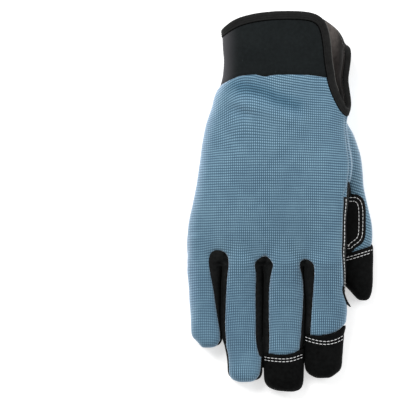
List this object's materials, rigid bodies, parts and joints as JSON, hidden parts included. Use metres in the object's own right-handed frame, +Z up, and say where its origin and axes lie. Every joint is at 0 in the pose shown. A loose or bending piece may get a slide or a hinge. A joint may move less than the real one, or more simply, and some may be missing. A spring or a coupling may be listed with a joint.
{
  "type": "insulated work glove",
  "caption": "Right-hand insulated work glove with a ribbed blue knit back, padded black palm and a slit neoprene cuff, lying palm down",
  "frame": {"origin": "the middle of the glove's bounding box across X and Y, on the surface that it lies on", "axes": "+Z is up, out of the back of the hand; +Y runs from the fingertips to the cuff; +X is the thumb side"},
  "size_m": [0.1262, 0.2558, 0.0395],
  "materials": {
    "blue_knit": "ribbed stretch knit",
    "black_leather": "fine-napped synthetic leather",
    "cap_leather": "smooth synthetic leather",
    "grey_leather": "fine-grained, slightly shiny",
    "neoprene": "matt jersey over foam",
    "binding_tape": "woven tape",
    "pile_lining": "brushed pile",
    "white_thread": "sewing thread"
  },
  "bodies": {
    "root": {"back_panel": "blue_knit", "palm_panel": "black_leather", "pinky_front": "black_leather", "ring_front": "black_leather", "middle_front": "black_leather", "index_front": "black_leather", "fourchette_1": "black_leather", "fourchette_2": "black_leather", "fourchette_3": "black_leather", "thumb_back": "blue_knit", "thumb_palm": "black_leather", "thumb_cap": "cap_leather", "index_cap": "cap_leather", "middle_cap": "cap_leather", "touch_tip": "grey_leather", "palm_patch_outer": "cap_leather", "palm_patch_inner": "cap_leather", "thumb_patch": "cap_leather", "cuff": "neoprene", "cuff_binding": "binding_tape", "cuff_lining": "pile_lining"}
  },
  "joints": []
}
